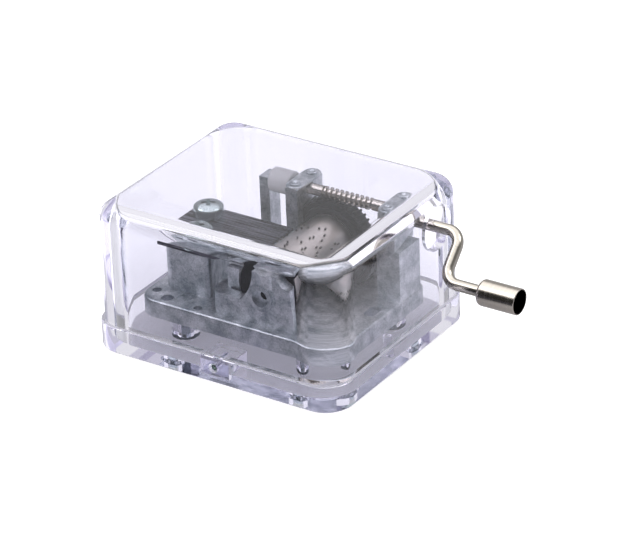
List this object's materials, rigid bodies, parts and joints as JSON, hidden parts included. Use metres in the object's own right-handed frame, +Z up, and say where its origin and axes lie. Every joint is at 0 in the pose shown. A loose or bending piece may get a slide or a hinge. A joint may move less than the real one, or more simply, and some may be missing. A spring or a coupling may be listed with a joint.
{
  "type": "hand-crank music box",
  "caption": "Hand-crank music box: a pinned cylinder, steel comb and worm drive on a die-cast plate, inside a clear plastic case with a bent side crank.",
  "frame": {"origin": "middle of the base's underside", "axes": "+X along the crank, out of the case; +Y to the back; +Z up"},
  "size_m": [0.0873, 0.0532, 0.0334],
  "materials": {
    "clear_plastic": "clear, polished, faintly violet",
    "zinc_casting": "cool grey die-cast zinc, satin and slightly mottled",
    "comb_steel": "dark ground steel with fine lines",
    "plated_screw": "bright zinc plating",
    "lead": "dull lead grey",
    "damper_wire": "fine bright wire",
    "cylinder_metal": "warm silver, satin",
    "pin_steel": "grey steel",
    "resin": "dark resin filling",
    "black_plastic": "black, satin",
    "wheel_plastic": "dark slate grey, satin",
    "nickel": "polished nickel",
    "rivet_steel": "grey plated steel",
    "nylon": "milky translucent nylon"
  },
  "bodies": {
    "case": {"case_base": "clear_plastic", "case_cover": "clear_plastic", "case_screws": "plated_screw", "movement_screws": "plated_screw", "bedplate": "zinc_casting", "comb": "comb_steel", "comb_screws": "plated_screw", "comb_weights": "lead", "comb_dampers": "damper_wire", "bearing_cap_inner": "zinc_casting", "bearing_cap_outer": "zinc_casting", "bearing_cap_rivets": "rivet_steel", "thrust_bush": "nylon"},
    "crank": {"crank_shaft": "nickel", "handle_retainer": "pin_steel"},
    "handle": {"handle_sleeve": "nickel"},
    "cylinder": {"cylinder_tube": "cylinder_metal", "cylinder_pins": "pin_steel", "cylinder_resin": "resin", "cylinder_end_cap": "black_plastic", "worm_wheel": "wheel_plastic", "cylinder_arbor": "pin_steel"}
  },
  "joints": [
    {"name": "crank_turn", "type": "hinge", "parent": "case", "child": "crank", "pos_m": [0, 0.0123, 0.0269], "axis": [1, 0, 0], "continuous": true},
    {"name": "cylinder_turn", "type": "hinge", "parent": "case", "child": "cylinder", "pos_m": [0.0064, 0, 0.01665], "axis": [0, 1, 0], "continuous": true},
    {"name": "handle_spin", "type": "hinge", "parent": "crank", "child": "handle", "pos_m": [0.0465, 0.0047, 0.0191], "axis": [1, 0, 0], "continuous": true}
  ],
  "couplings": [
    {"joint": "cylinder_turn", "follows": "crank_turn", "ratio": -0.022222}
  ]
}
